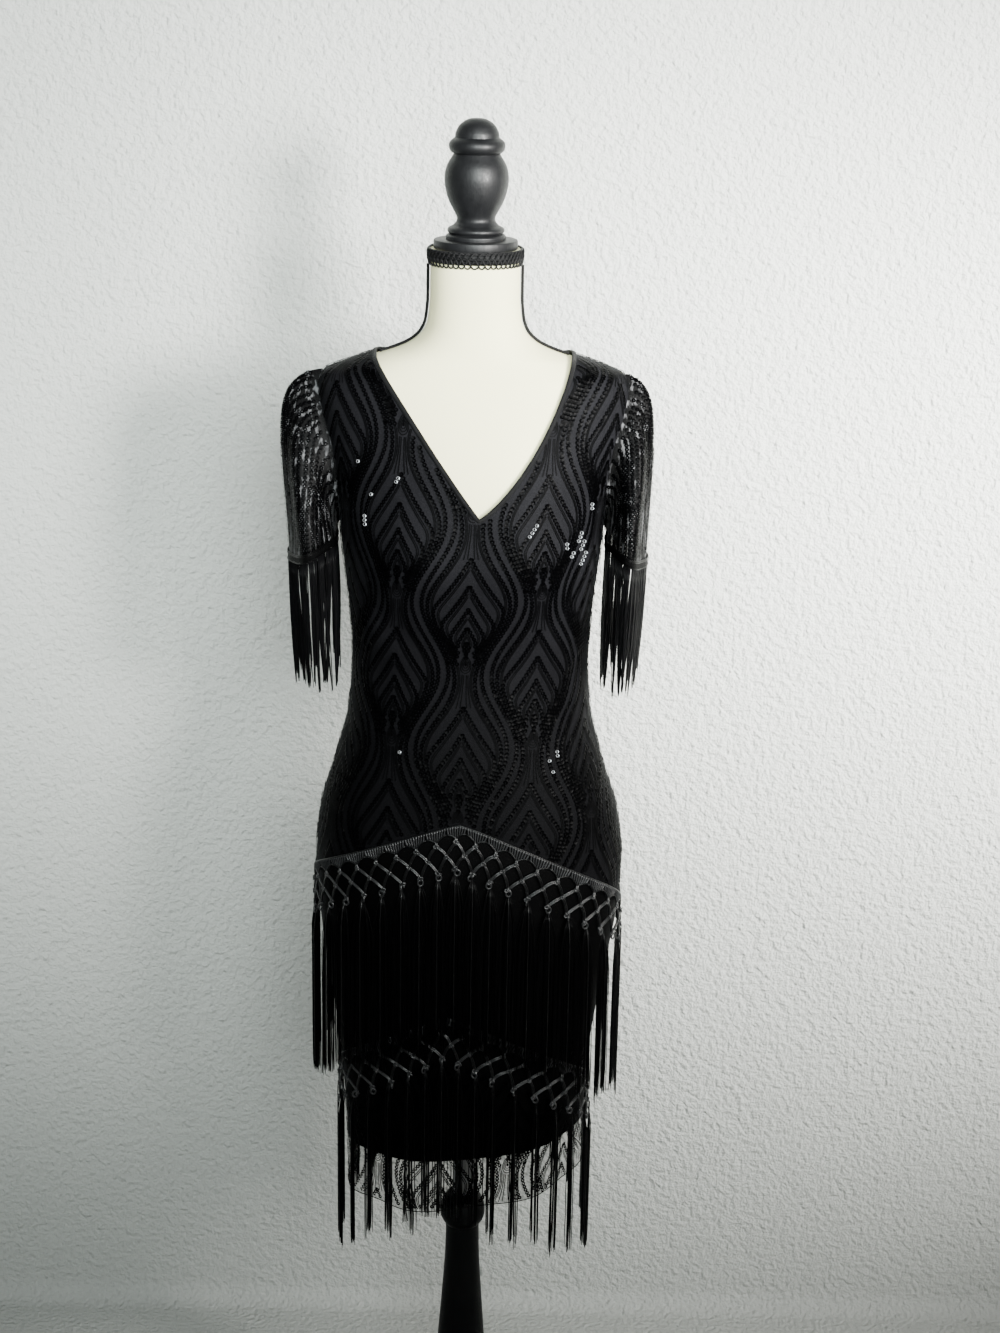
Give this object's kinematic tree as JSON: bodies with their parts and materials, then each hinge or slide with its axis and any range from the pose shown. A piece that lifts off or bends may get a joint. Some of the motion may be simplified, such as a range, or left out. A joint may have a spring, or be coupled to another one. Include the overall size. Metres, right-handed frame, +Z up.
{
  "type": "sequin fringe cocktail dress on a limbless dress form with a turned stand",
  "caption": "Short black sequin dress with V neck, fringed short sleeves and knotted fringe tiers, worn by a cream dress form on a black turned stand.",
  "frame": {"origin": "centre of the stand base's flat underside, on the floor", "axes": "+Z up along the pole, -Y towards the front of the dress, +X towards the viewer's right"},
  "size_m": [0.411, 0.3662, 1.67],
  "materials": {
    "sequin_net": "black stretch net closely embroidered with small ring sequins",
    "binding": "matt black knit binding",
    "lining": "matt black opaque jersey lining",
    "fringe": "satin black rayon fringe and cord",
    "gimp": "matt black braid and piping",
    "jersey": "matt cream jersey",
    "black_wood": "black stained wood with a soft sheen",
    "steel": "plain steel tube"
  },
  "bodies": {
    "root": {"dress_front": "sequin_net", "dress_back": "sequin_net", "sleeve_left": "sequin_net", "sleeve_right": "sequin_net", "lining_front": "lining", "lining_back": "lining", "neck_binding": "binding", "upper_fringe_front": "fringe", "upper_fringe_back": "fringe", "lower_fringe_front": "fringe", "lower_fringe_back": "fringe", "sleeve_fringe_left": "fringe", "sleeve_fringe_right": "fringe", "form_torso": "jersey", "neck_band": "gimp", "piping_left": "gimp", "piping_right": "gimp", "neck_disc": "black_wood", "finial": "black_wood", "post": "black_wood", "stand_base": "black_wood", "pole": "steel"}
  },
  "joints": []
}
